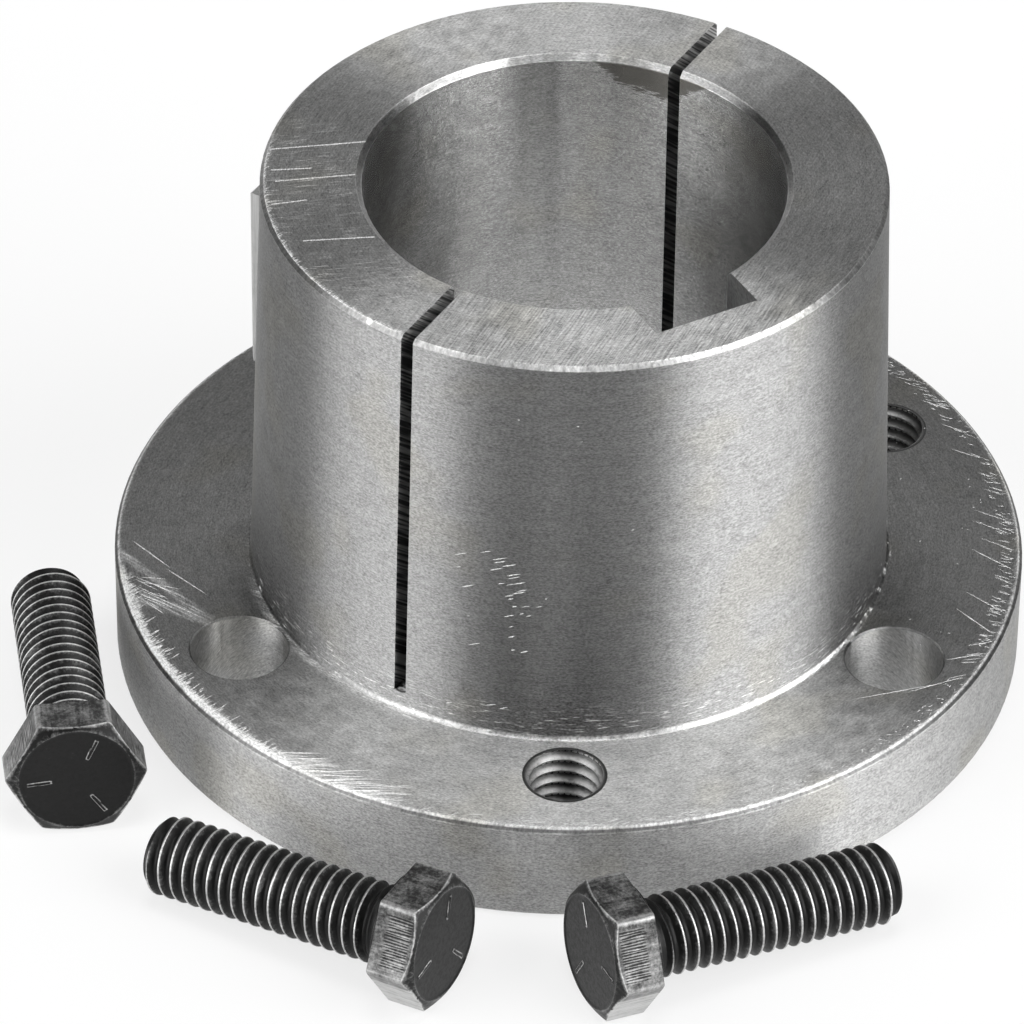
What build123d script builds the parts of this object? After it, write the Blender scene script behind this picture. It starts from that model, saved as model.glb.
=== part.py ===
from build123d import *
from math import atan, cos, radians, sin, sqrt, tan
import os

# A flanged shaft bushing with a tapered, slotted barrel, its driving key, and its three cap
# screws lying beside it. The bore runs along Z, the flange's flat back stands on Z = 0, and
# the keyway in the bore lies towards -Y. Common inch sizes, held in millimetres.

# Rings outward from the bore: the barrel's wall at its gauge circle, the screw circle, the rim
bore_diameter = 1.875 * IN
barrel_wall = 0.5 * IN
barrel_to_screw_circle = 0.25 * IN
screw_circle_to_rim = 0.375 * IN

# Bore ends and the keyway broached along the bore
bore_end_break = 0.65
keyway_width = 0.5 * IN
keyway_depth = 0.25 * IN

# Flange
flange_thickness = 0.5 * IN
flange_edge_break = 0.5

# Barrel: its taper is measured on the diameter, from a gauge circle above the flange
overall_length = 2.5 * IN
gauge_height = 0.25 * IN
taper_per_length = 0.75 / 12
barrel_end_break = 0.45
barrel_foot_radius = 0.3

# Saw cut that splits the barrel into two halves and stops just above the flange
slot_width = 1.5
slot_angle = 30.5
slot_offset = 0.7
slot_floor_above_flange = 2.3

# Screw circle: plain holes for pulling up, and midway between them tapped holes for pushing off.
# The place beside the driving key has no tapped hole, because the hub has its keyway there
plain_holes = 3
plain_hole_diameter = 7 / 16 * IN
plain_hole_break = 0.2
tapped_holes = 2

# Screws: 3/8 inch thread in the tapped holes, 1-1/4 inch long and 9/16 inch across flats,
# each at the small end of its tolerance
thread_diameter = 0.375 * IN
thread_clearance = 0.275
screw_length = 31.0
screw_tip_chamfer = 0.9
screw_across_flats = 14.0
screw_head_height = 5.7
screw_head_chamfer_angle = 30
screw_face_diameter = 13.1
washer_face_diameter = 13.4
washer_face_thickness = 0.4

# Driving key on the barrel, midway between the slots, and the pins that hold it
key_angle = 120
key_width = 0.5 * IN
key_height = 0.25 * IN
key_length = 24.0
key_foot_above_flange = 14.0
key_proud_of_barrel = 3.3
key_edge_break = 0.4
key_pin_diameter = 0.125 * IN
key_pin_depth_in_barrel = 4.5
key_pin_spacing = 13.0

# How each screw lies on the bench: the middle of its head's underside stands off the flange's
# rim, at an angle round the bore's axis, and its shank runs along a heading
screw_1_off_rim = 12.43
screw_1_angle = 181.2
screw_1_heading = 68.4
screw_2_off_rim = 12.95
screw_2_angle = 224.5
screw_2_heading = 120.9
screw_3_off_rim = 12.31
screw_3_angle = 246.9
screw_3_heading = -4.1


# Bushing body: one turned, drilled, broached and sawn piece
bore_r = bore_diameter / 2
gauge_r = bore_r + barrel_wall
screw_circle_r = gauge_r + barrel_to_screw_circle
flange_r = screw_circle_r + screw_circle_to_rim
gauge_z = flange_thickness + gauge_height
taper_of_radius = taper_per_length / 2
barrel_foot_r = gauge_r + taper_of_radius * gauge_height
barrel_end_r = gauge_r - taper_of_radius * (overall_length - gauge_z)
keyway_floor = sqrt(bore_r**2 - (keyway_width / 2) ** 2) + keyway_depth
key_foot_z = flange_thickness + key_foot_above_flange
key_middle_z = key_foot_z + key_length / 2
barrel_r_at_key = gauge_r - taper_of_radius * (key_middle_z - gauge_z)
key_seat_floor = barrel_r_at_key + key_proud_of_barrel - key_height

with BuildPart() as bushing_body:
    # Half section through the flange and the tapered barrel, turned about the bore's axis
    with BuildSketch(Plane.XZ):
        with BuildLine():
            Polyline(
                (bore_r, 0),
                (flange_r, 0),
                (flange_r, flange_thickness),
                (barrel_foot_r, flange_thickness),
                (barrel_end_r, overall_length),
                (bore_r, overall_length),
                close=True,
            )
        make_face()
    revolve(axis=Axis.Z)

    # Broken edges at the rims and the small radius where the barrel meets the flange
    rims = bushing_body.edges().filter_by(GeomType.CIRCLE)
    flange_rims = rims.filter_by(lambda rim: abs(rim.radius - flange_r) < 1e-6)
    bore_rims = rims.filter_by(lambda rim: abs(rim.radius - bore_r) < 1e-6)
    barrel_foot = rims.filter_by(lambda rim: abs(rim.radius - barrel_foot_r) < 1e-6)
    barrel_end = rims.filter_by(lambda rim: abs(rim.radius - barrel_end_r) < 1e-6)
    chamfer(flange_rims, flange_edge_break)
    chamfer(bore_rims, bore_end_break)
    chamfer(barrel_end, barrel_end_break)
    fillet(barrel_foot, barrel_foot_radius)

    # Keyway, square cornered, along the whole bore
    with BuildSketch():
        with Locations((0, -keyway_floor / 2)):
            Rectangle(keyway_width, keyway_floor)
    extrude(amount=overall_length, mode=Mode.SUBTRACT)

    # Plain and tapped holes alternate round the screw circle, counted from the driving key
    hole_pitch = 360 / plain_holes
    with Locations((0, 0, flange_thickness)):
        with PolarLocations(screw_circle_r, plain_holes, key_angle + hole_pitch / 2):
            CounterSinkHole(
                radius=plain_hole_diameter / 2,
                counter_sink_radius=plain_hole_diameter / 2 + plain_hole_break,
                depth=flange_thickness,
                counter_sink_angle=90,
            )
        with PolarLocations(screw_circle_r, tapped_holes, key_angle + hole_pitch, tapped_holes * hole_pitch):
            Hole(radius=thread_diameter / 2, depth=flange_thickness)

    # One saw cut through both walls of the barrel, set a little off the bore's axis
    slot_floor_z = flange_thickness + slot_floor_above_flange
    with BuildSketch(Plane.XY.offset(slot_floor_z).rotated((0, 0, slot_angle))):
        with Locations((0, slot_offset)):
            Rectangle(2 * flange_r, slot_width)
    extrude(amount=overall_length - slot_floor_z, mode=Mode.SUBTRACT)

    # Seat milled for the driving key, parallel to the bore, with a blind hole for each pin
    with BuildSketch(Plane.XY.offset(key_foot_z)):
        with PolarLocations(key_seat_floor + key_height, 1, key_angle):
            Rectangle(2 * key_height, key_width)
    extrude(amount=key_length, mode=Mode.SUBTRACT)
    key_middle = Vector(key_seat_floor, 0, key_middle_z).rotate(Axis.Z, key_angle)
    key_outward = Vector(1, 0, 0).rotate(Axis.Z, key_angle)
    key_seat = Plane(origin=key_middle, x_dir=(0, 0, 1), z_dir=key_outward)
    with BuildSketch(key_seat):
        with GridLocations(key_pin_spacing, 0, 2, 1):
            Circle(key_pin_diameter / 2)
    extrude(amount=-key_pin_depth_in_barrel, mode=Mode.SUBTRACT)

bushing_body.part.label = "bushing_body"


# Driving key: a flat bar with its outer edges broken, drilled for its pins
with BuildPart() as external_key:
    with BuildSketch(key_seat):
        Rectangle(key_length, key_width)
    extrude(amount=key_height)
    outer_face = external_key.faces().sort_by(Axis(key_middle, key_outward))[-1]
    chamfer(outer_face.edges(), key_edge_break)
    with BuildSketch(key_seat):
        with GridLocations(key_pin_spacing, 0, 2, 1):
            Circle(key_pin_diameter / 2)
    extrude(amount=key_height, mode=Mode.SUBTRACT)

external_key.part.label = "external_key"


# Key pins, driven through the key into the barrel's wall and filed flush
key_pins = {}
for name, along in (("key_pin_upper", key_pin_spacing / 2), ("key_pin_lower", -key_pin_spacing / 2)):
    with BuildPart() as key_pin:
        with BuildSketch(key_seat.offset(-key_pin_depth_in_barrel)):
            with Locations((along, 0)):
                Circle(key_pin_diameter / 2)
        extrude(amount=key_pin_depth_in_barrel + key_height)
    key_pin.part.label = name
    key_pins[name] = key_pin


# Cap screws: each rests on one flat of its head and on the end of its thread
thread_r = (thread_diameter - thread_clearance) / 2
head_over_corners = screw_head_height - washer_face_thickness
shank_from_corners = screw_length + washer_face_thickness
head_corner_r = screw_across_flats / sqrt(3)
chamfer_drop = (head_corner_r - screw_face_diameter / 2) * tan(radians(screw_head_chamfer_angle))
lean = atan((screw_across_flats / 2 - thread_r) / (shank_from_corners - screw_tip_chamfer))

screw_places = (
    (screw_1_off_rim, screw_1_angle, screw_1_heading),
    (screw_2_off_rim, screw_2_angle, screw_2_heading),
    (screw_3_off_rim, screw_3_angle, screw_3_heading),
)
cap_screws = {}
for number, (off_rim, angle, heading) in enumerate(screw_places, start=1):
    height = screw_across_flats / 2 * cos(lean)
    start = Vector(flange_r + off_rim, 0, height).rotate(Axis.Z, angle)
    run = Vector(cos(lean), 0, -sin(lean)).rotate(Axis.Z, heading)
    across = Vector(0, 1, 0).rotate(Axis.Z, heading)
    underside = Plane(origin=start, x_dir=across, z_dir=run)
    long_section = Plane(origin=start, x_dir=across, z_dir=run.cross(across))
    screw_axis = Axis(start, run)

    with BuildPart() as cap_screw:
        # Hexagonal head, standing back from its underside
        with BuildSketch(underside):
            RegularPolygon(screw_across_flats / 2, 6, major_radius=False)
        extrude(amount=-head_over_corners)
        # Corners turned off at the top of the head
        with BuildSketch(long_section):
            with BuildLine():
                Polyline(
                    (0, 0),
                    (head_corner_r, 0),
                    (head_corner_r, head_over_corners - chamfer_drop),
                    (screw_face_diameter / 2, head_over_corners),
                    (0, head_over_corners),
                    close=True,
                )
            make_face()
        revolve(axis=screw_axis, mode=Mode.INTERSECT)
        # Washer face and shank, its tip chamfered to start in a thread
        with BuildSketch(underside):
            Circle(washer_face_diameter / 2)
        extrude(amount=washer_face_thickness)
        with BuildSketch(underside):
            Circle(thread_r)
        extrude(amount=shank_from_corners)
        tip_face = cap_screw.faces().sort_by(screw_axis)[-1]
        chamfer(tip_face.edges(), screw_tip_chamfer)

    cap_screw.part.label = f"cap_screw_{number}"
    cap_screws[cap_screw.part.label] = cap_screw


os.makedirs("parts", exist_ok=True)
export_step(bushing_body.part, "parts/bushing_body.step")
export_step(external_key.part, "parts/external_key.step")
for name, key_pin in key_pins.items():
    export_step(key_pin.part, f"parts/{name}.step")
for name, cap_screw in cap_screws.items():
    export_step(cap_screw.part, f"parts/{name}.step")
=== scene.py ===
import bmesh
import bpy
import numpy as np
from math import atan2, cos, degrees, hypot, pi, radians, sin, tan
from mathutils import Matrix, Vector


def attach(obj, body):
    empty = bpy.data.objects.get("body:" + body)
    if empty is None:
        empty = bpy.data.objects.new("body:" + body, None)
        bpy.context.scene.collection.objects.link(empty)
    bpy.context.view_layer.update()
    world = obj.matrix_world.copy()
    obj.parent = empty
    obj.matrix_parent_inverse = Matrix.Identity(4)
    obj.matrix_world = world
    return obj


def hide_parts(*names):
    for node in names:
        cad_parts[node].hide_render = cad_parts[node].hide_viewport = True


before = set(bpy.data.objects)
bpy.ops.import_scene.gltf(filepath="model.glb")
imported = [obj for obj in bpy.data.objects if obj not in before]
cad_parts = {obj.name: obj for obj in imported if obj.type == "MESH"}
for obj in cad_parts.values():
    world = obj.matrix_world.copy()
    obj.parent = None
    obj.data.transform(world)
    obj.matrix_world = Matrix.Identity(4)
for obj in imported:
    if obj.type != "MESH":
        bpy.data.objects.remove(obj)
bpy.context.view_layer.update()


# Bushing body. One piece of steel: flange and tapered barrel are turned, bored, broached for a
# key, drilled, tapped and sawn, and it stands on its flange. Ring marks from the lathe spread
# the light across them, and the broken edges are burnished bright, with painted highlights on
# the sides seen from the camera.

def node(tree, kind, *values, out=0, **wanted):
    """Adds one node and returns one of its outputs. Values go to its inputs in order, and each
    name in wanted is an input too, or else a setting of the node."""
    made = tree.nodes.new("ShaderNode" + kind)
    for name, value in wanted.items():
        if name not in made.inputs:
            setattr(made, name, value)
    inputs = list(zip(made.inputs, values))
    inputs += [(made.inputs[name], value) for name, value in wanted.items() if name in made.inputs]
    for socket, value in inputs:
        if isinstance(value, bpy.types.NodeSocket):
            tree.links.new(value, socket)
        elif value is not None:
            socket.default_value = value
    return made.outputs[out]


def maths(tree, operation, *values):
    """The result of one sum, such as MULTIPLY or MAXIMUM, on numbers or links."""
    return node(tree, "Math", *values, operation=operation)


def plus(tree, first, second):
    """The sum of two values."""
    return maths(tree, "ADD", first, second)


def minus(tree, first, second):
    """The first value less the second."""
    return maths(tree, "SUBTRACT", first, second)


def times(tree, first, *others):
    """All the values multiplied together."""
    for other in others:
        first = maths(tree, "MULTIPLY", first, other)
    return first


def largest(tree, first, *others):
    """The largest of all the values."""
    for other in others:
        first = maths(tree, "MAXIMUM", first, other)
    return first


def scaled(tree, value, factor, base):
    """Base plus factor times value."""
    return maths(tree, "MULTIPLY_ADD", value, factor, base)


def varied(tree, noise_value, amount, base):
    """Base plus amount times how far a noise lies above its mean, a half."""
    return scaled(tree, minus(tree, noise_value, 0.5), amount, base)


def away(tree, value, middle):
    """How far a value lies from a middle, to either side."""
    return maths(tree, "ABSOLUTE", minus(tree, value, middle))


def in_millimetres(tree):
    """The place on a piece's surface, in millimetres from the shared origin."""
    in_metres = node(tree, "TexCoord", out=3)
    return node(tree, "VectorMath", in_metres, (1000, 1000, 1000), operation="MULTIPLY")


def parts_of(tree, place):
    """The three numbers of a place."""
    apart = tree.nodes.new("ShaderNodeSeparateXYZ")
    tree.links.new(place, apart.inputs[0])
    return apart.outputs


def between(tree, value, start, end, low=0.0, high=1.0):
    """Low where value is at start, high where it is at end, and a smooth S curve in between."""
    return node(tree, "MapRange", value, start, end, low, high, interpolation_type="SMOOTHSTEP")


def blend(tree, share, first, second):
    """A number that goes from first to second as share goes from 0 to 1."""
    return node(tree, "Mix", share, None, first, second)


def mixed(tree, share, first, second):
    """A colour that goes from first to second as share goes from 0 to 1."""
    return node(tree, "MixRGB", share, first, second)


def grey(level):
    """A grey from 0 for black to 1 for white, with a touch less blue than red and green."""
    return (level, level, level * 0.993, 1)


def noise(tree, place, scale, detail=2.0, roughness=0.5, distortion=0.0):
    """Smooth random numbers between 0 and 1, mostly near a half."""
    return node(tree, "TexNoise", Vector=place, Scale=scale, Detail=detail, Roughness=roughness,
                Distortion=distortion)


def drawn_out(tree, x, y, z, width, depth, height):
    """A place measured in grains: width along x, depth along y and height along z, in mm."""
    return node(tree, "CombineXYZ", maths(tree, "DIVIDE", x, width),
                maths(tree, "DIVIDE", y, depth), maths(tree, "DIVIDE", z, height))


def along_and_off(tree, x, y, heading):
    """Distance along a heading in degrees across the XY plane, and distance off it to its left."""
    a = radians(heading)
    along = plus(tree, times(tree, x, cos(a)), times(tree, y, sin(a)))
    off = minus(tree, times(tree, y, cos(a)), times(tree, x, sin(a)))
    return along, off


def strokes(tree, x, y, heading, length, width):
    """Random numbers drawn out into straight strokes along a heading, mostly near a half."""
    along, off = along_and_off(tree, x, y, heading)
    return noise(tree, drawn_out(tree, along, off, 0.0, length, width, 1), 1.0, 1.0, 0.6)


def sector(tree, bearing, start, end, soft):
    """1 between two bearings, in degrees from 0 to 360, and 0 outside them, with soft ends."""
    return times(tree, between(tree, bearing, start - soft, start + soft),
                 between(tree, bearing, end + soft, end - soft))


def rubbed_line(tree, x, y, start, end, half_width, soft):
    """1 on the straight line between two points of the XY plane and 0 away from it."""
    (x0, y0), (x1, y1) = start, end
    heading, length = degrees(atan2(y1 - y0, x1 - x0)), hypot(x1 - x0, y1 - y0)
    from_middle = minus(tree, x, (x0 + x1) / 2), minus(tree, y, (y0 + y1) / 2)
    along, off = along_and_off(tree, *from_middle, heading)
    beside = between(tree, maths(tree, "ABSOLUTE", off), half_width + soft, half_width)
    within = between(tree, maths(tree, "ABSOLUTE", along), length / 2 + soft, length / 2)
    return times(tree, beside, within)


bore_r, barrel_r, flange_r = 23.8125, 36.5125, 52.3875
flange_top, barrel_top = 12.7, 63.5
gauge_height, taper = 19.05, 1 / 32
mouth_bevel, end_bevel = 0.65, 0.45
screw_circle_r, hole_mouth_r = 42.8625, 5.8
cut_angle, cut_off_axis, cut_width, cut_floor = 30.5, 0.7, 1.5, 15.0

turned_steel = bpy.data.materials.new("turned_steel")
turned_steel.use_nodes = True
tree = turned_steel.node_tree
steel = tree.nodes["Principled BSDF"]
place = in_millimetres(tree)
x, y, z = parts_of(tree, place)
r = maths(tree, "SQRT", plus(tree, times(tree, x, x), times(tree, y, y)))
ring = plus(tree, r, z)
slope = minus(tree, r, z)
bearing = times(tree, maths(tree, "ARCTAN2", y, x), 180 / pi)
bearing = maths(tree, "FLOORED_MODULO", bearing, 360.0)

# Where each face is: bore, saw cut, top of the barrel, flange and rim
in_bore = between(tree, r, bore_r + 0.05, bore_r + 0.01)
along_cut, off_cut = along_and_off(tree, x, y, cut_angle)
off_cut = away(tree, off_cut, cut_off_axis)
in_cut = times(tree, maths(tree, "LESS_THAN", off_cut, cut_width / 2 + 0.0005),
               maths(tree, "GREATER_THAN", z, cut_floor - 0.1))
on_top = between(tree, z, barrel_top - 0.1, barrel_top - 0.02)
on_flange = times(tree, between(tree, z, flange_top + 0.3, flange_top + 0.05),
                  between(tree, r, barrel_r + 0.3, barrel_r + 0.6))
on_rim = between(tree, r, flange_r - 0.05, flange_r - 0.01)
on_flat = largest(tree, on_top, on_flange)

# Ring marks: fine grain, short streaks and broad rings round the axis, with no seam
grain = noise(tree, drawn_out(tree, x, y, ring, 0.34, 0.34, 0.17), 1.0, 1.0, 0.6)
streaks = noise(tree, drawn_out(tree, x, y, ring, 1.8, 1.8, 0.2), 1.0, 1.0, 0.6)
broad_rings = noise(tree, drawn_out(tree, x, y, ring, 16, 16, 0.5), 1.0, 1.0, 0.55)
mottle = noise(tree, place, 0.5, 2.0, 0.6)
clouds = noise(tree, place, 0.09, 1.0, 0.55)

# Finish of each face: the barrel is darkest, the faces and the rim paler, the bore smooth and pale, with
# painted shade that makes the bore darker the deeper it goes
pale = blend(tree, on_flat, 0.345, 0.5)
pale = blend(tree, on_rim, pale, 0.43)
# Painted shade: the bore's colour is darker lower down
pale = blend(tree, in_bore, pale, between(tree, z, 34, 54, 0.52, 0.66))
rough = blend(tree, on_rim, 0.5, 0.65)
rough = blend(tree, in_bore, rough, 0.24)
grooved = blend(tree, on_flat, 1.0, 0.85)
grooved = blend(tree, on_rim, grooved, 0.7)

# Painted shade: the bore is painted darker low down on its side towards +X, where it reflects less light
bore_side_shade = times(tree, between(tree, z, 55, 42), between(tree, away(tree, bearing, 186), 140, 170))
pale = blend(tree, times(tree, bore_side_shade, in_bore), pale, 0.3)

# Bevels, dark: the flange's and the barrel's outer edges are both cut at 45 degrees, so on them
# the distance from the axis plus the height is nearly its greatest. On the bevel at the mouth of
# the bore the distance less the height is always the same
flange_ring, flange_slope = flange_r + flange_top, flange_r - flange_top
barrel_end_r = barrel_r - (barrel_top - gauge_height) * taper
barrel_ring = barrel_end_r - end_bevel + barrel_top
mouth_slope = bore_r + mouth_bevel - barrel_top
flange_bevel = times(tree, between(tree, ring, flange_ring - 0.56, flange_ring - 0.52),
                     between(tree, away(tree, slope, flange_slope), 0.56, 0.5))
# Painted shade: the bevels are painted dark, and the bevel round the barrel's end darker on bearings 110
# to 206
pale = blend(tree, flange_bevel, pale, 0.22)
pale = blend(tree, between(tree, ring, barrel_ring - 0.07, barrel_ring - 0.03), pale,
             blend(tree, sector(tree, bearing, 110, 206, 8), 0.22, 0.46))

# Thin burnished lines where a hub or a hand has rubbed the edges: the flange's rim, the barrel's
# end, the mouth of the bore and the foot of the barrel. On the barrel's end, the mouth and the foot
# they are painted brightest on the side seen from the camera, so there they are also painted highlights
edge = times(tree, between(tree, slope, flange_slope - 0.61, flange_slope - 0.51),
             between(tree, slope, flange_slope + 0.01, flange_slope - 0.24))
outer_edge = between(tree, away(tree, slope, flange_slope + 0.51), 0.16, 0.06)
edge = largest(tree, edge, times(tree, outer_edge, 0.45))
edge = times(tree, edge, between(tree, ring, flange_ring - 0.72, flange_ring - 0.58))
top_edge = between(tree, ring, barrel_ring - 0.11, barrel_ring - 0.01)
top_edge = times(tree, top_edge, scaled(tree, sector(tree, bearing, 214, 318, 12), 0.62, 0.12))
mouth = between(tree, slope, mouth_slope + 0.08, mouth_slope + 0.02)
mouth = times(tree, mouth, scaled(tree, sector(tree, bearing, 34, 128, 14), 0.72, 0.2))
foot = times(tree, between(tree, z, flange_top + 0.62, flange_top + 0.2),
             between(tree, r, barrel_r + 0.75, barrel_r + 0.5), between(tree, r, bore_r + 3, bore_r + 5),
             scaled(tree, sector(tree, bearing, 205, 306, 14), 0.85, 0.12))
# Painted highlight: the sector weights make the lines on the barrel's end, the mouth and the foot
# brightest on the sides seen from the camera
burnish_and_highlight = times(tree, largest(tree, edge, mouth), between(tree, mottle, 0.3, 0.68, 0.3, 1.0))
burnish_and_highlight = largest(tree, burnish_and_highlight, times(tree, top_edge, between(tree, mottle, 0.25, 0.55, 0.72, 1.0)),
                    times(tree, foot, between(tree, mottle, 0.2, 0.6, 0.6, 1.0)))
pale = blend(tree, burnish_and_highlight, pale, 0.9)
rough = blend(tree, burnish_and_highlight, rough, 0.45)

# The mouths of the three plain holes are dull. The square of the distance from a hole's axis is
# the squares of both distances from the bore's axis, less twice their product times the cosine
# of the angle between them
from_hole = minus(tree, maths(tree, "FLOORED_MODULO", bearing, 120.0), 60)
from_hole = times(tree, r, maths(tree, "COSINE", times(tree, from_hole, pi / 180)))
from_hole = plus(tree, maths(tree, "MULTIPLY_ADD", r, r, screw_circle_r ** 2),
                 times(tree, from_hole, -2 * screw_circle_r))
hole_mouth = times(tree, between(tree, from_hole, hole_mouth_r ** 2, (hole_mouth_r - 0.06) ** 2),
                   between(tree, z, flange_top - 0.24, flange_top - 0.2))
pale = blend(tree, hole_mouth, pale, 0.2)

# Torn and rubbed places on the flange: a fringe of burrs round its rim, wide at the far left, a
# fan of strokes where a tool slipped off, smears up to a hole, and scuffs round the barrel's foot
spikes = minus(tree, strokes(tree, x, y, 13, 1.7, 0.13), 0.5)
wide = sector(tree, bearing, 158, 203, 3)
fringe = scaled(tree, spikes, blend(tree, wide, 1.2, 3.4), plus(tree, r, blend(tree, wide, 0.0, 0.62)))
fringe = times(tree, between(tree, fringe, 51.62, 51.86), blend(tree, wide, 0.5, 0.95))
slips = scaled(tree, minus(tree, r, 50.7), 0.1, strokes(tree, x, y, -29, 5.0, 0.16))
slips = times(tree, between(tree, slips, 0.5, 0.64), sector(tree, bearing, 201, 218, 2))
smears = largest(tree, rubbed_line(tree, x, y, (-46.9, 22.0), (-43.7, 6.5), 0.35, 0.5),
                 rubbed_line(tree, x, y, (-50.0, 15.5), (-43.7, 6.0), 0.6, 0.7))
smears = times(tree, smears, between(tree, strokes(tree, x, y, -66, 5, 0.2), 0.35, 0.75, 0.1, 0.6))
scuffs = times(tree, between(tree, strokes(tree, x, y, -58, 4, 0.16), 0.46, 0.6),
               sector(tree, bearing, 164, 214, 5),
               between(tree, r, barrel_r + 1.9, barrel_r + 0.5, 0, 0.6))
flange_marks = times(tree, largest(tree, fringe, slips, smears, scuffs), on_flange,
                     between(tree, z, flange_top - 0.2, flange_top - 0.05))

# On the end of the barrel: nicks along its edge, drag marks and five long scratches
nicks = scaled(tree, spikes, 2.4, r)
nicks = times(tree, between(tree, nicks, 34.4, 34.65), sector(tree, bearing, 140, 208, 6), 0.75)
drags = times(tree, between(tree, strokes(tree, x, y, -20, 4, 0.11), 0.57, 0.68),
              sector(tree, bearing, 128, 205, 8), between(tree, clouds, 0.42, 0.62, 0.5, 0.9), 0.6)
end_marks = largest(tree, nicks, drags)
for start, end in (((-27.3, 21.1), (-17.2, 17.3)), ((-29.6, 15.4), (-21.2, 12.3)),
                   ((-29.0, 17.5), (-24.9, 15.7)), ((-32.0, 11.7), (-28.2, 10.6)),
                   ((-32.1, 4.0), (-24.9, 0.9))):
    scratch = rubbed_line(tree, x, y, start, end, 0.05, 0.1)
    end_marks = largest(tree, end_marks, times(tree, scratch, 0.8))

# A bright nick on the barrel's end beside the cut, and rubbed streaks low on the barrel
from_nick = node(tree, "VectorMath", place, (-32.7, -12.35, 63.3), out=1, operation="DISTANCE")
nick = between(tree, plus(tree, from_nick, mottle), 0.95, 0.8)
rubs = times(tree, between(tree, streaks, 0.6, 0.72), between(tree, z, 18.5, 14.5),
             between(tree, away(tree, r, barrel_r), 0.9, 0.5), 0.6)
torn = largest(tree, flange_marks, times(tree, end_marks, on_top), nick, rubs)
pale = blend(tree, torn, pale, 0.9)

# Brush strokes of the last file pass across the end of the barrel, deepest beside the keyway
brushed = times(tree, minus(tree, strokes(tree, x, y, 37, 4.0, 0.2), 0.5), on_top,
                blend(tree, sector(tree, bearing, 212, 292, 10), 0.6, 1.7))

shade = varied(tree, grain, 1.35, 1.0)
shade = varied(tree, streaks, 0.45, shade)
shade = varied(tree, broad_rings, 0.2, shade)
shade = varied(tree, mottle, 0.4, shade)
shade = scaled(tree, brushed, 0.9, shade)
pale = maths(tree, "MINIMUM", times(tree, pale, shade), 1.0)
rough = varied(tree, mottle, blend(tree, in_bore, 0.2, 0.04), rough)
rough = blend(tree, torn, rough, 0.9)

# Old cutting oil, dried brown under the mouth of the bore on its far side
run_down = times(tree, between(tree, bearing, 58, 44), between(tree, bearing, 18, 36),
                 between(tree, streaks, 0.3, 0.7, 2.6, 4.2))
oil = times(tree, between(tree, plus(tree, z, run_down), 63.0, 63.25), in_bore, 0.8)

# Saw marks on the walls of the cut, slanting down from the top
slant = scaled(tree, along_cut, 0.9, z)
saw_marks = noise(tree, drawn_out(tree, along_cut, off_cut, slant, 9, 1, 0.42), 1.0, 1.0, 0.6)
sawn = mixed(tree, between(tree, saw_marks, 0.4, 0.66), grey(0.07), grey(0.55))

colour = node(tree, "CombineColor", pale, pale, times(tree, pale, 0.993))
straw = times(tree, between(tree, clouds, 0.52, 0.66), 0.35)
colour = node(tree, "MixRGB", straw, colour, (0.97, 0.94, 0.84, 1), blend_type="MULTIPLY")
colour = mixed(tree, oil, colour, (0.16, 0.15, 0.13, 1))
colour = mixed(tree, in_cut, colour, sawn)

tree.links.new(colour, steel.inputs["Base Color"])
tree.links.new(rough, steel.inputs["Roughness"])
tree.links.new(blend(tree, torn, 1.0, 0.4), steel.inputs["Metallic"])
tree.links.new(grooved, steel.inputs["Anisotropic"])
steel.inputs["Anisotropic Rotation"].default_value = 0.25
round_axis = node(tree, "CombineXYZ", times(tree, y, -1), x, 0.0)
tree.links.new(node(tree, "VectorMath", round_axis, operation="NORMALIZE"), steel.inputs["Tangent"])
tree.links.new(node(tree, "Bump", Strength=0.5, Distance=2e-5, Height=grain), steel.inputs["Normal"])

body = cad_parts["bushing_body"]
body.data.materials.clear()
body.data.materials.append(turned_steel)


# Threads of the two tapped holes, cut with a 3/8-16 tap from the flange's face: a spiral groove
# in the same steel as the body, painted darker down in the groove as painted shade, with a
# small countersink at its mouth.

def closed_shell(name, grid, first=None, last=None, joins=None):
    """A closed mesh from a grid of points, rows by columns, joined round its columns. Where rows
    climb, joins gives the row that each one runs on into. A fan closes the grid to the point first
    before its first row and to last after its last, and without these its last row meets its
    first. Points in one place are made one, and normals are turned outwards."""
    rows, columns = grid.shape[:2]
    at = np.arange(rows * columns).reshape(rows, columns)
    beside = np.roll(at, -1, axis=1)
    if joins is not None:
        beside[:, -1] = at[joins, 0]
    if first is None:
        after, beside_after = np.roll(at, -1, axis=0), np.roll(beside, -1, axis=0)
        quads = np.stack([at, beside, beside_after, after], axis=-1).reshape(-1, 4)
        fans, points = [], grid.reshape(-1, 3)
    else:
        quads = np.stack([at[:-1], beside[:-1], beside[1:], at[1:]], axis=-1).reshape(-1, 4)
        start, end = rows * columns, rows * columns + 1
        fans = [np.stack([np.full(columns, start), beside[0], at[0]], axis=-1),
                np.stack([np.full(columns, end), at[-1], beside[-1]], axis=-1)]
        points = np.vstack([grid.reshape(-1, 3), first, last])
    faces = quads.tolist() + [face for fan in fans for face in fan.tolist()]
    mesh = bpy.data.meshes.new(name)
    mesh.from_pydata((points / 1000).tolist(), [], faces)
    work = bmesh.new()
    work.from_mesh(mesh)
    bmesh.ops.remove_doubles(work, verts=work.verts, dist=5e-7)
    bmesh.ops.dissolve_degenerate(work, edges=work.edges, dist=5e-7)
    bmesh.ops.recalc_face_normals(work, faces=work.faces)
    work.to_mesh(mesh)
    work.free()
    mesh.shade_smooth()
    mesh.set_sharp_from_angle(angle=radians(32))
    piece = bpy.data.objects.new(name, mesh)
    bpy.context.scene.collection.objects.link(piece)
    return piece


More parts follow.
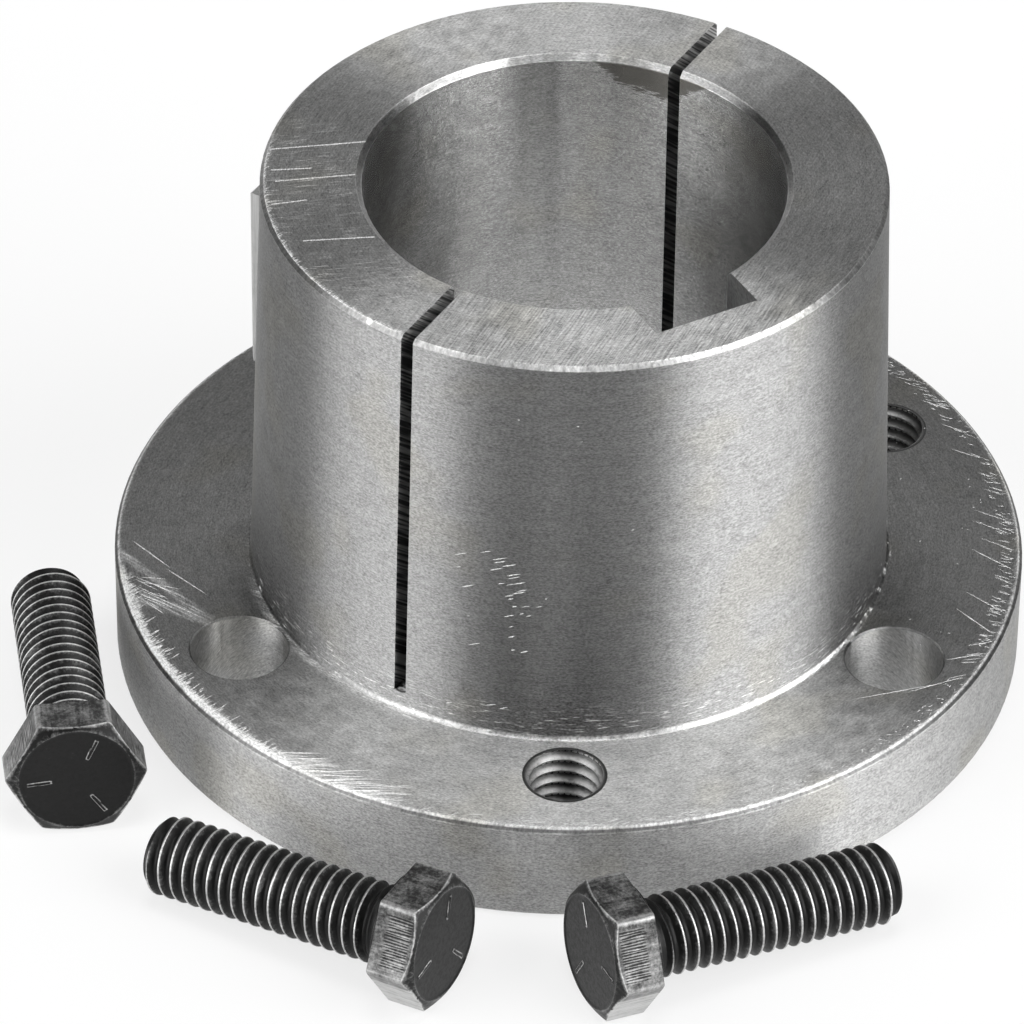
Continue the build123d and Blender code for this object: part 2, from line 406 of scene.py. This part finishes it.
tapped_steel = bpy.data.materials.new("tapped_steel")
tapped_steel.use_nodes = True
tree = tapped_steel.node_tree
tapped = tree.nodes["Principled BSDF"]
place = in_millimetres(tree)
tears = noise(tree, place, 2.5, 3.0, 0.6)
groove = varied(tree, tears, 0.5, node(tree, "Attribute", out=2, attribute_name="groove"))
colour = mixed(tree, between(tree, tears, 0.3, 0.7), grey(0.26), grey(0.46))
# Painted shade: darker the deeper down in the groove
colour = mixed(tree, between(tree, groove, 0.2, 0.85), colour, grey(0.1))
tree.links.new(colour, tapped.inputs["Base Color"])
tree.links.new(between(tree, tears, 0.3, 0.7, 0.36, 0.55), tapped.inputs["Roughness"])
tapped.inputs["Metallic"].default_value = 1

thread_pitch = 25.4 / 16
tapped_root_r, tapped_crest_r, tapped_mouth_r, tapped_shell_r = 4.76, 3.98, 4.4, 4.82
# One turn of thread by share of the pitch: crest, flank, rounded root, flank
thread_phase = np.array([0.0, 0.02, 0.105, 0.125, 0.15, 0.41, 0.44, 0.50, 0.5625, 0.625, 0.685,
                         0.715, 0.975])
thread_depth = np.array([0.03, 0.0, 0.0, 0.03, 0.09, 0.93, 0.98, 1.0, 1.0, 1.0, 0.98, 0.93, 0.09])


def thread_rows(length, turn, start=0.0):
    """Height and depth of a right-hand thread on rows that climb with it, and the row that each one
    runs on into. A row keeps one share of the pitch, so its height is pitch times (turns + share +
    angle over a full turn), held between start and start + length. Depth is 0 on the crest and 1
    in the root."""
    turns = np.arange(-1, int(np.ceil(length / thread_pitch)) + 1)
    rows = (turns[:, None] + thread_phase[None, :]).ravel()
    depth = np.tile(thread_depth, len(turns))
    height = start + thread_pitch * (rows[:, None] + turn[None, :] / (2 * pi))
    joins = np.minimum(np.arange(len(rows)) + len(thread_phase), len(rows) - 1)
    return np.clip(height, start, start + length), np.broadcast_to(depth[:, None], height.shape), joins


for number, angle in enumerate((0, 240), start=1):
    turn = np.linspace(0, 2 * pi, 72, endpoint=False)
    low, top = 0.02, flange_top - 0.003
    height, depth, joins = thread_rows(top - low, turn, low)
    to_mouth = np.minimum(top - height, height - low)
    radius = tapped_crest_r + (tapped_root_r - tapped_crest_r) * depth
    radius = np.clip(radius, tapped_mouth_r - to_mouth, tapped_mouth_r + to_mouth)
    wall = np.ones((2, len(turn)))
    radius = np.vstack([radius, tapped_shell_r * wall])
    height = np.vstack([height, wall * [[top], [low]]])
    joins = np.append(joins, [len(joins), len(joins) + 1])
    centre = screw_circle_r * np.array([cos(radians(angle)), sin(radians(angle))])
    grid = np.stack([centre[0] + radius * np.cos(turn), centre[1] + radius * np.sin(turn), height],
                    axis=-1)
    jack_thread = closed_shell(f"jack_thread_{number}", grid, joins=joins)
    # How deep in the groove each point lies: 0 on the crest and 1 in the root
    points = np.empty(len(jack_thread.data.vertices) * 3)
    jack_thread.data.vertices.foreach_get("co", points)
    off_axis = np.hypot(*(points.reshape(-1, 3)[:, :2] * 1000 - centre).T)
    in_groove = (off_axis - tapped_crest_r) / (tapped_root_r - tapped_crest_r)
    jack_thread.data.attributes.new("groove", "FLOAT", "POINT").data.foreach_set("value", in_groove)
    jack_thread.data.materials.append(tapped_steel)
    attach(jack_thread, "root")


# Scratches and burrs, left by tools, hubs and handling: slivers of steel turned up from the face
# of the flange, along its rim and at the foot of the barrel, and small dents on the barrel.

def slivers(name, start, end, normal, width, lift):
    """Thin closed slivers, one for each row of start and end. Half the width and all the height
    swell from almost nothing at the ends by the root of the sine of the way along, and the section
    is a ridge between two feet with a keel just under the surface."""
    stations, blunt, keel_depth = 7, 0.06, 0.01
    way = np.linspace(0, 1, stations)
    swell = (blunt + (1 - blunt) * np.sqrt(np.sin(pi * way)))[None, :, None]
    run = end - start
    side = np.cross(normal, run)
    side /= np.linalg.norm(side, axis=1, keepdims=True)
    middle = start[:, None] + run[:, None] * way[None, :, None]
    half = side[:, None] * (width[:, None, None] / 2) * swell
    ridge = normal[:, None] * lift * swell
    keel = middle - normal[:, None] * keel_depth
    corners = np.stack([middle + half, middle + ridge, middle - half, keel], axis=2)
    count = len(corners)
    at = np.arange(count * stations * 4).reshape(count, stations, 4)
    beside = np.roll(at, -1, axis=2)
    quads = np.stack([at[:, :-1], beside[:, :-1], beside[:, 1:], at[:, 1:]], axis=-1).reshape(-1, 4)
    caps = np.concatenate([at[:, 0, ::-1], at[:, -1]])
    mesh = bpy.data.meshes.new(name)
    mesh.from_pydata((corners.reshape(-1, 3) / 1000).tolist(), [], np.vstack([quads, caps]).tolist())
    work = bmesh.new()
    work.from_mesh(mesh)
    bmesh.ops.recalc_face_normals(work, faces=work.faces)
    work.to_mesh(mesh)
    work.free()
    piece = bpy.data.objects.new(name, mesh)
    bpy.context.scene.collection.objects.link(piece)
    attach(piece, "root")
    return piece


torn_steel = bpy.data.materials.new("torn_steel")
torn_steel.use_nodes = True
tree = torn_steel.node_tree
torn = tree.nodes["Principled BSDF"]
place = in_millimetres(tree)
flecks = noise(tree, place, 3.0, 3.0, 0.6)
colour = mixed(tree, between(tree, flecks, 0.3, 0.7), grey(0.62), grey(0.95))
tree.links.new(colour, torn.inputs["Base Color"])
tree.links.new(between(tree, flecks, 0.3, 0.7, 0.6, 0.85), torn.inputs["Roughness"])
torn.inputs["Metallic"].default_value = 1


def on_flange_face(radius, bearing):
    """Points of the flange's face at a distance from the bore's axis and a bearing in degrees."""
    a, height = np.radians(bearing), np.full(np.shape(radius), flange_top)
    return np.stack([radius * np.cos(a), radius * np.sin(a), height], axis=-1)


def on_barrel(bearing, height):
    """Points of the barrel's taper at a bearing in degrees and a height: its radius falls by the
    taper times the height above the gauge circle."""
    a, radius = np.radians(bearing), barrel_r - (height - gauge_height) * taper
    return np.stack([radius * np.cos(a), radius * np.sin(a), height], axis=-1)


chance = np.random.default_rng(4)

# Long scratches from the holes' circle out to the rim: radius and bearing of both ends, and width
long_scratches = np.array([
    (49.3, 3.2, 51.2, -0.3, 0.12), (49.0, -2.8, 50.9, -5.7, 0.12), (48.0, -8.5, 50.8, -11.9, 0.13),
    (49.5, -14.5, 51.4, -16.5, 0.12), (49.3, -18.2, 51.3, -20.0, 0.10), (50.2, -26.8, 51.5, -27.7, 0.12),
    (49.4, -37.4, 51.6, -38.5, 0.12), (50.2, -40.1, 51.6, -40.7, 0.12), (49.2, -52.6, 51.6, -50.6, 0.13),
    (47.5, -22.7, 51.3, -25.6, 0.13), (46.8, -24.9, 51.4, -28.3, 0.14), (47.6, -29.0, 51.6, -31.6, 0.12),
    (46.5, -31.5, 51.6, -35.7, 0.17), (46.4, -41.2, 51.7, -44.6, 0.14), (46.0, -45.3, 51.7, -49.3, 0.15),
    (48.1, -56.6, 51.7, -53.0, 0.14), (43.1, -72.2, 49.7, -61.1, 0.10), (47.0, -66.0, 51.2, -58.5, 0.09),
    (50.4, 152.5, 46.2, 159.0, 0.16), (46.8, 158.9, 42.9, 166.3, 0.14), (50.1, 160.3, 46.8, 161.4, 0.10),
    (50.2, 161.2, 45.7, 164.0, 0.12), (51.4, 161.6, 44.0, 172.4, 0.10), (50.4, 164.9, 48.5, 168.8, 0.14),
])
start = on_flange_face(long_scratches[:, 0], long_scratches[:, 1])
end = on_flange_face(long_scratches[:, 2], long_scratches[:, 3])
width = long_scratches[:, 4]

# Bundles of fine strokes: how many, between which radii and bearings they start, and between
# which lengths and headings they run
bundles = (
    (60, 50.6, 51.6, 160, 203, 0.5, 1.5, 4, 22), (40, 50.4, 51.7, 201, 216, 2.0, 5.5, -34, -24),
    (30, 50.9, 51.9, 214, 262, 0.6, 2.0, -36, 0), (70, 49.9, 51.6, 262, 300, 0.2, 0.8, -60, 50),
    (230, 49.4, 51.6, -52, 14, 0.3, 1.9, -66, -38), (34, 39.5, 50.5, -62, 4, 0.1, 0.35, -70, 70),
    (22, 49.6, 51.8, -61, -54, 1.2, 3.2, -40, -8), (12, 47.5, 51.0, 160, 166, 1.5, 4.0, -70, -58),
    (16, 37.0, 37.6, 168, 212, 1.0, 2.5, -75, -40),
)
for count, near, far, left, right, short, long, low, high in bundles:
    foot = on_flange_face(chance.uniform(near, far, count), chance.uniform(left, right, count))
    heading = np.radians(chance.uniform(low, high, count))
    reach = chance.uniform(short, long, count)
    stroke = np.stack([np.cos(heading) * reach, np.sin(heading) * reach, 0 * reach], axis=-1)
    start, end = np.vstack([start, foot]), np.vstack([end, foot + stroke])
    width = np.append(width, chance.uniform(0.05, 0.13, count))
inside = np.hypot(end[:, 0], end[:, 1]) < flange_r - 0.55
start, end, width = start[inside], end[inside], width[inside]
upward = np.tile([0.0, 0.0, 1.0], (len(start), 1))
flange_scratches = slivers("flange_scratches", start, end, upward, width, 0.02)
flange_scratches.data.materials.append(torn_steel)

# Dents on the barrel, in a row down its middle, with a few specks round it: bearing and height of
# both ends
dents = np.array([
    (226.5, 36.8, 229.3, 37.4), (226.8, 36.4, 229.0, 36.9), (228.3, 36.1, 230.8, 36.6),
    (226.0, 35.3, 228.5, 35.9), (229.2, 34.9, 231.7, 35.4), (229.4, 34.5, 231.5, 35.0),
    (227.6, 33.6, 228.9, 33.9), (229.1, 33.6, 232.6, 34.3), (230.9, 32.9, 232.8, 33.3),
    (230.2, 32.5, 232.6, 33.0), (228.9, 32.0, 230.5, 32.4), (229.5, 31.7, 230.5, 31.9),
    (230.2, 30.7, 231.1, 30.9), (231.8, 30.8, 233.4, 31.1), (234.6, 31.0, 235.5, 31.2),
    (231.5, 29.8, 232.4, 30.0), (228.8, 29.2, 230.6, 29.6), (232.7, 29.6, 233.6, 29.8),
    (229.6, 27.8, 230.6, 28.1), (229.6, 26.4, 230.8, 26.7), (230.2, 24.7, 230.9, 24.8),
    (231.8, 24.5, 233.2, 24.8), (219.5, 36.4, 221.9, 37.1), (224.3, 37.5, 226.4, 38.0),
    (219.9, 34.8, 220.8, 35.0), (220.9, 32.2, 223.3, 32.9), (222.1, 28.4, 222.7, 28.5),
    (222.4, 24.4, 224.6, 25.0), (225.7, 16.4, 227.7, 16.8), (228.4, 16.3, 229.8, 16.6),
    (218.5, 15.5, 219.6, 15.8), (236.0, 32.2, 236.4, 32.3), (230.6, 56.2, 231.0, 56.2),
    (241.0, 55.8, 241.5, 55.8), (241.7, 53.7, 242.2, 53.8), (251.0, 41.4, 251.5, 41.5),
])
bearing = dents[:, [0, 2]].mean(axis=1)
start, end = on_barrel(dents[:, 0], dents[:, 1]), on_barrel(dents[:, 2], dents[:, 3])
outward = np.stack([np.cos(np.radians(bearing)), np.sin(np.radians(bearing)), 0 * bearing], axis=-1)
width = chance.uniform(0.08, 0.17, len(bearing))
barrel_dents = slivers("barrel_dents", start, end, outward, width, 0.025)
barrel_dents.data.materials.append(torn_steel)


# External key: a length of cold drawn flat bar with its edges broken, let into a seat in the
# barrel. Its two pins are drill rod, driven in and filed flush with its outer face.

drawn_bar = bpy.data.materials.new("drawn_bar")
drawn_bar.use_nodes = True
tree = drawn_bar.node_tree
bar = tree.nodes["Principled BSDF"]
place = in_millimetres(tree)
x, y, z = parts_of(tree, place)
draw_lines = noise(tree, drawn_out(tree, x, y, z, 0.3, 0.3, 9), 1.0, 3.0, 0.6)
blotches = noise(tree, place, 0.35, 3.0, 0.6)
colour = mixed(tree, between(tree, draw_lines, 0.3, 0.7), grey(0.4), grey(0.52))
colour = mixed(tree, between(tree, blotches, 0.5, 0.8), colour, grey(0.4))
tree.links.new(colour, bar.inputs["Base Color"])
tree.links.new(between(tree, blotches, 0.3, 0.7, 0.5, 0.62), bar.inputs["Roughness"])
bar.inputs["Metallic"].default_value = 1
tree.links.new(node(tree, "Bump", Strength=0.5, Distance=1e-5, Height=draw_lines), bar.inputs["Normal"])

for name in ("external_key", "key_pin_upper", "key_pin_lower"):
    key_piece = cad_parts[name]
    key_piece.data.materials.clear()
    key_piece.data.materials.append(drawn_bar)


# Cap screws: three 3/8-16 hexagon cap screws of carbon steel, cold headed, rolled threaded and
# black oxide coated. They lie loose on the bench, each on one flat of its head and its tip.

across_flats, head_height, washer_height = 14.0, 5.3, 0.4
washer_face_r, washer_edge_r = 6.55, 6.7
crest_r, root_r, shank_start, shank_end, tip_chamfer = 4.625, 3.86, 0.2, 31.4, 0.9
thread_start, thread_fade, thread_relief = 1.5, 1.4, 0.3
face_r, head_chamfer = 6.55, tan(radians(30))
edge_break, dash_height = 0.1, 0.12

black_oxide = bpy.data.materials.new("black_oxide")
black_oxide.use_nodes = True
tree = black_oxide.node_tree
coat = tree.nodes["Principled BSDF"]
place = node(tree, "Attribute", out=1, attribute_name="from_axis")
x, y, z = parts_of(tree, place)
specks = noise(tree, place, 2.4, 4.0, 0.7)
patches = noise(tree, place, 0.45, 3.0, 0.6)
trim_lines = noise(tree, drawn_out(tree, x, y, z, 0.34, 0.34, 5), 1.0, 2.0, 0.6)
# The stored wear also carries painted light: a painted reflection of the white floor makes the heads'
# lower flats paler
wear_and_sheen = node(tree, "Attribute", out=2, attribute_name="wear_and_sheen")
rubbed_and_sheen = varied(tree, specks, 0.6, wear_and_sheen)
rubbed_and_sheen = varied(tree, patches, 0.5, rubbed_and_sheen)
rubbed_and_sheen = varied(tree, trim_lines, times(tree, wear_and_sheen, 0.9), rubbed_and_sheen)
rubbed_and_sheen = between(tree, rubbed_and_sheen, 0.12, 0.95)
# The trimming die left a row of fine ridges on the middle of the two flats beside the topmost
beside = maths(tree, "ABSOLUTE", x)
on_side = scaled(tree, beside, -0.5, times(tree, y, 0.866))
far_out = scaled(tree, beside, 0.866, times(tree, y, 0.5))
die_marks = maths(tree, "SINE", scaled(tree, trim_lines, 9, times(tree, on_side, 20)))
die_marks = times(tree, die_marks, between(tree, maths(tree, "ABSOLUTE", on_side), 3.3, 2.6),
                  between(tree, far_out, 6.9, 6.95), between(tree, z, -4.7, -4.3),
                  between(tree, z, -1.2, -1.9))
rubbed_and_sheen = scaled(tree, die_marks, 0.22, rubbed_and_sheen)
colour = mixed(tree, rubbed_and_sheen, mixed(tree, specks, grey(0.003), grey(0.016)), grey(0.6))
tree.links.new(colour, coat.inputs["Base Color"])
tree.links.new(rubbed_and_sheen, coat.inputs["Metallic"])
tree.links.new(between(tree, specks, 0.3, 0.7, 0.28, 0.5), coat.inputs["Roughness"])
coat.inputs["Specular IOR Level"].default_value = 0.18
bumps = scaled(tree, trim_lines, times(tree, wear_and_sheen, 3), specks)
bumps = scaled(tree, die_marks, 1.2, bumps)
tree.links.new(node(tree, "Bump", Strength=0.6, Distance=2e-5, Height=bumps), coat.inputs["Normal"])


def screw_frame(off_rim, angle, heading):
    """Where a screw lies: the middle of its head's underside, and the three directions along its
    shank, across it and up. The shank dips so that a flat of the head and the thread's tip touch
    the bench together."""
    lean = np.arctan((across_flats / 2 - crest_r) / (shank_end - tip_chamfer))
    a, h = np.radians(angle), np.radians(heading)
    radius = flange_r + off_rim
    start = np.array([radius * np.cos(a), radius * np.sin(a), across_flats / 2 * np.cos(lean)])
    run = np.array([np.cos(lean) * np.cos(h), np.cos(lean) * np.sin(h), -np.sin(lean)])
    across = np.array([-np.sin(h), np.cos(h), 0])
    return start, run, across, np.cross(run, across)


def in_place(spot, radius, along, turn):
    """Points of a screw from distance off its axis, distance along it and angle round it."""
    start, run, across, up = spot
    out = across * np.cos(turn)[..., None] + up * np.sin(turn)[..., None]
    return start + run * along[..., None] + out * radius[..., None]


def keep_finish(piece, spot, rule):
    """Stores on each point where it lies from the screw's axis, and how far its coat is rubbed off,
    together with painted sheen, by the rule of its radius, its place along the axis and its angle."""
    points = np.empty(len(piece.data.vertices) * 3)
    piece.data.vertices.foreach_get("co", points)
    own = (points.reshape(-1, 3) * 1000 - spot[0]) @ np.stack([spot[2], spot[3], spot[1]], axis=1)
    worn_and_lit = rule(np.hypot(own[:, 0], own[:, 1]), own[:, 2], np.arctan2(own[:, 1], own[:, 0]))
    piece.data.attributes.new("from_axis", "FLOAT_VECTOR", "POINT").data.foreach_set("vector", own.ravel())
    piece.data.attributes.new("wear_and_sheen", "FLOAT", "POINT").data.foreach_set("value", worn_and_lit)


def hexagon(turn):
    """Distance from the axis to a hexagon with its corners a little rounded: half the size across
    flats over the 60th root of the sum of each flat's cosine to the power 60."""
    toward = np.stack([np.cos(turn - radians(30 + 60 * flat)) for flat in range(6)])
    return across_flats / 2 / (np.clip(toward, 0, 1) ** 60).sum(axis=0) ** (1 / 60)


def grade_dash(radius, turn, first):
    """Share of full height of the three plain dashes on a head: each is a bar from 2.9 to 5.6 mm
    off the axis, 0.4 mm wide with sloping sides, and they stand a third of a turn apart."""
    offset = (turn - first + pi / 3) % (2 * pi / 3) - pi / 3
    beside = np.abs(radius * np.sin(offset))
    ends = np.clip((radius - 2.8) / 0.2, 0, 1) * np.clip((5.7 - radius) / 0.2, 0, 1)
    return np.clip((0.27 - beside) / 0.14, 0, 1) * ends


def head_wear_and_sheen(radius, along, turn, first):
    """Bright on the corners, on the arcs where the chamfer meets the flats and on the dashes' sides,
    grey on the flats and the washer face, black on the top. The flats' grey is a painted reflection:
    paler the more a flat faces down towards the white floor, darker facing up."""
    corner = hexagon(turn)
    meet = head_height - (corner - face_r) * head_chamfer
    on_flats = (radius > 6.95) & (along < 0.01)
    arc = np.exp(-((along + meet) / 0.12) ** 2) * on_flats
    ridge = np.clip((radius - 7.72) / 0.2, 0, 1) * on_flats
    ring = np.exp(-((radius - face_r) / 0.12) ** 2) * (along < -4.5)
    dash = grade_dash(radius, turn, first) * (along < -5)
    side = 4 * dash * (1 - dash)
    # Painted reflection: the flats are paler the more they face down towards the white floor
    flat_sheen = 0.4 - 0.14 * np.sin(turn) + 0.26 * (np.sin(turn) < -0.2)
    flat_sheen = flat_sheen * (on_flats & (along > -meet - 0.05)) + 0.1 * (along < -meet) * (radius > face_r)
    return np.maximum.reduce([flat_sheen, 0.55 * arc, 0.5 * ridge, 0.3 * ring, 0.7 * side, 0.2 * (along > 0.0)])


for number, (off_rim, angle, heading, first_dash) in enumerate(
        ((12.43, 181.2, 68.4, -4), (12.95, 224.5, 120.9, -8), (12.31, 246.9, -4.1, 58.6)), start=1):
    spot = screw_frame(off_rim, angle, heading)
    start, run = spot[:2]
    first = radians(first_dash)

    # Head: rows run from the washer face over the underside, up the flats and over the chamfer
    even = np.linspace(0, 2 * pi, 240, endpoint=False)
    turn = even - 0.8 * np.sin(6 * even) / 6
    flat = np.ones_like(turn)
    corner = hexagon(turn)
    meet = np.minimum(head_height - (corner - face_r) * head_chamfer, head_height)
    radius = [5.2 * flat, washer_face_r * flat, washer_edge_r * flat, washer_edge_r * flat,
              corner - edge_break, corner]
    along = [washer_height * flat, washer_height * flat, (washer_height - edge_break) * flat,
             0.0 * flat, 0.0 * flat, -edge_break * flat]
    for share in (0.03, 0.25, 0.5, 0.75, 0.93, 0.97, 1.0):
        radius.append(corner)
        along.append(-edge_break - (meet - edge_break) * share)
    for share in (0.06, 0.12, 0.5, 0.95, 1.0):
        radius.append(corner + (face_r - corner) * share)
        along.append(-meet - (head_height - meet) * share)
    for reach in np.linspace(6.3, 0.4, 32):
        radius.append(reach * flat)
        dashes = dash_height * grade_dash(reach * flat, turn, first)
        along.append(-(head_height - dash_height) - dashes)
    grid = in_place(spot, np.array(radius), np.array(along), turn)
    under, above = start + washer_height * run, start - (head_height - dash_height) * run
    head = closed_shell(f"cap_screw_{number}_head", grid, under, above)
    keep_finish(head, spot, lambda radius, along, turn: head_wear_and_sheen(radius, along, turn, first))

    # Shank: rolled thread that fades in just under the head and runs to a chamfered tip
    turn = np.linspace(0, 2 * pi, 72, endpoint=False)
    along, depth, joins = thread_rows(shank_end - shank_start, turn, shank_start)
    fade = np.clip((along - thread_start) / thread_fade, 0, 1)
    radius = crest_r - (crest_r - root_r) * depth * fade - thread_relief * (1 - fade)
    radius = np.minimum(radius, crest_r - tip_chamfer + (shank_end - along))
    grid = in_place(spot, radius, along, turn)
    under, tip = start + shank_start * run, start + shank_end * run
    shank = closed_shell(f"cap_screw_{number}_shank", grid, under, tip, joins)
    keep_finish(shank, spot, lambda radius, along, turn: np.clip((radius - 4.53) / 0.07, 0, 1) * 0.7
                + np.clip((1.8 - along) / 0.8, 0, 1) * 0.22)

    for piece in (head, shank):
        piece.data.materials.append(black_oxide)
        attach(piece, "root")
    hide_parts(f"cap_screw_{number}")


# Floor: one wide sheet of matt white paper, so wide that its edge lies on the horizon.

paper = bpy.data.materials.new("white_paper")
paper.use_nodes = True
paper_shader = paper.node_tree.nodes["Principled BSDF"]
paper_shader.inputs["Base Color"].default_value = (0.8, 0.8, 0.8, 1)
paper_shader.inputs["Roughness"].default_value = 1
paper_shader.inputs["Specular IOR Level"].default_value = 0
tree = paper.node_tree
rays = tree.nodes.new("ShaderNodeLightPath").outputs
seen = largest(tree, rays["Is Camera Ray"], rays["Is Glossy Ray"], rays["Is Transmission Ray"])
lit = node(tree, "MixShader", times(tree, seen, 0.75), paper_shader.outputs[0],
           node(tree, "Emission", (1, 1, 1, 1), 1.0))
tree.links.new(lit, tree.nodes["Material Output"].inputs["Surface"])
floor_radius, floor_height, floor_corners = 25, -2e-5, 96
turn = np.linspace(0, 2 * pi, floor_corners, endpoint=False)
disc = np.stack([floor_radius * np.cos(turn), floor_radius * np.sin(turn),
                 np.full(floor_corners, floor_height)], axis=-1)
floor_mesh = bpy.data.meshes.new("floor")
floor_mesh.from_pydata(disc.tolist(), [], [list(range(floor_corners))])
floor_mesh.materials.append(paper)
floor = bpy.data.objects.new("floor", floor_mesh)
bpy.context.scene.collection.objects.link(floor)


# Studio light: two tall soft boxes, to the left and the right of the camera, a round one right
# above, a weak ceiling and a low pale wall behind, all far away, drawn as patches of the sky.

studio = bpy.data.worlds.new("studio")
studio.use_nodes = True
tree = studio.node_tree
sky = node(tree, "TexCoord", out=0)
toward_camera = -119.52


def patch(heading, half_width, soft, low, high, soft_height, strength):
    """Light of one soft box: strength times an S curve of the cosine of the angle to its heading,
    times S curves of the sine of elevation at its lower and upper edge."""
    east, north, sine = parts_of(tree, sky)
    level = node(tree, "VectorMath", node(tree, "CombineXYZ", east, north, 0.0), operation="NORMALIZE")
    a = radians(toward_camera + heading)
    near = node(tree, "VectorMath", level, (cos(a), sin(a), 0), out=1, operation="DOT_PRODUCT")
    light = between(tree, near, cos(radians(half_width + soft)), cos(radians(half_width - soft)))
    above = between(tree, sine, sin(radians(low - soft_height)), sin(radians(low + soft_height)))
    below = between(tree, sine, sin(radians(high + soft_height)), sin(radians(high - soft_height)))
    return times(tree, light, above, below, strength)


lights = [
    patch(-66, 24, 8, -20, 60, 6, 3.6),
    patch(64, 26, 9, -20, 60, 6, 4.7),
    patch(180, 30, 12, -20, 28, 8, 1.1),
    patch(180, 110, 30, 60, 100, 5, 1.6),
    patch(0, 60, 20, 60, 100, 5, 0.6),
]
height = parts_of(tree, sky)[2]
overhead = between(tree, height, sin(radians(78)), sin(radians(80)), 0.0, 7.6)
horizon = between(tree, height, sin(radians(5)), sin(radians(4)), 0.0, 0.97)
total = plus(tree, overhead, horizon)
for light in lights:
    total = plus(tree, total, light)
background = tree.nodes["Background"]
background.inputs["Color"].default_value = (1, 1, 1, 1)
tree.links.new(total, background.inputs["Strength"])
bpy.context.scene.world = studio
bpy.context.scene.view_settings.view_transform = "Standard"


# Camera: a long lens from 38 degrees above, a little to the left of the keyway. The focal length
# is in pixels, and the offset of its stand is across, up and back from the bushing's middle, in m.

camera = bpy.data.objects.new("camera", bpy.data.cameras.new("camera"))
film_width, picture_width, focal_length = 36, 1024, 7776.1
camera.data.sensor_width = film_width
camera.data.lens = film_width * focal_length / picture_width
camera.data.clip_end = 100
turned = Matrix.Rotation(radians(toward_camera + 90), 3, "Z")
tipped = Matrix.Rotation(radians(90 - 38.211), 3, "X")
rolled = Matrix.Rotation(0.01148, 3, "Z")
half_way_up = Vector((0, 0, 0.03175))
stand = half_way_up + turned @ tipped @ Vector((-0.006567, -0.012324, 0.88654))
camera.matrix_world = Matrix.Translation(stand) @ (turned @ tipped @ rolled).to_4x4()
bpy.context.scene.collection.objects.link(camera)
bpy.context.scene.camera = camera
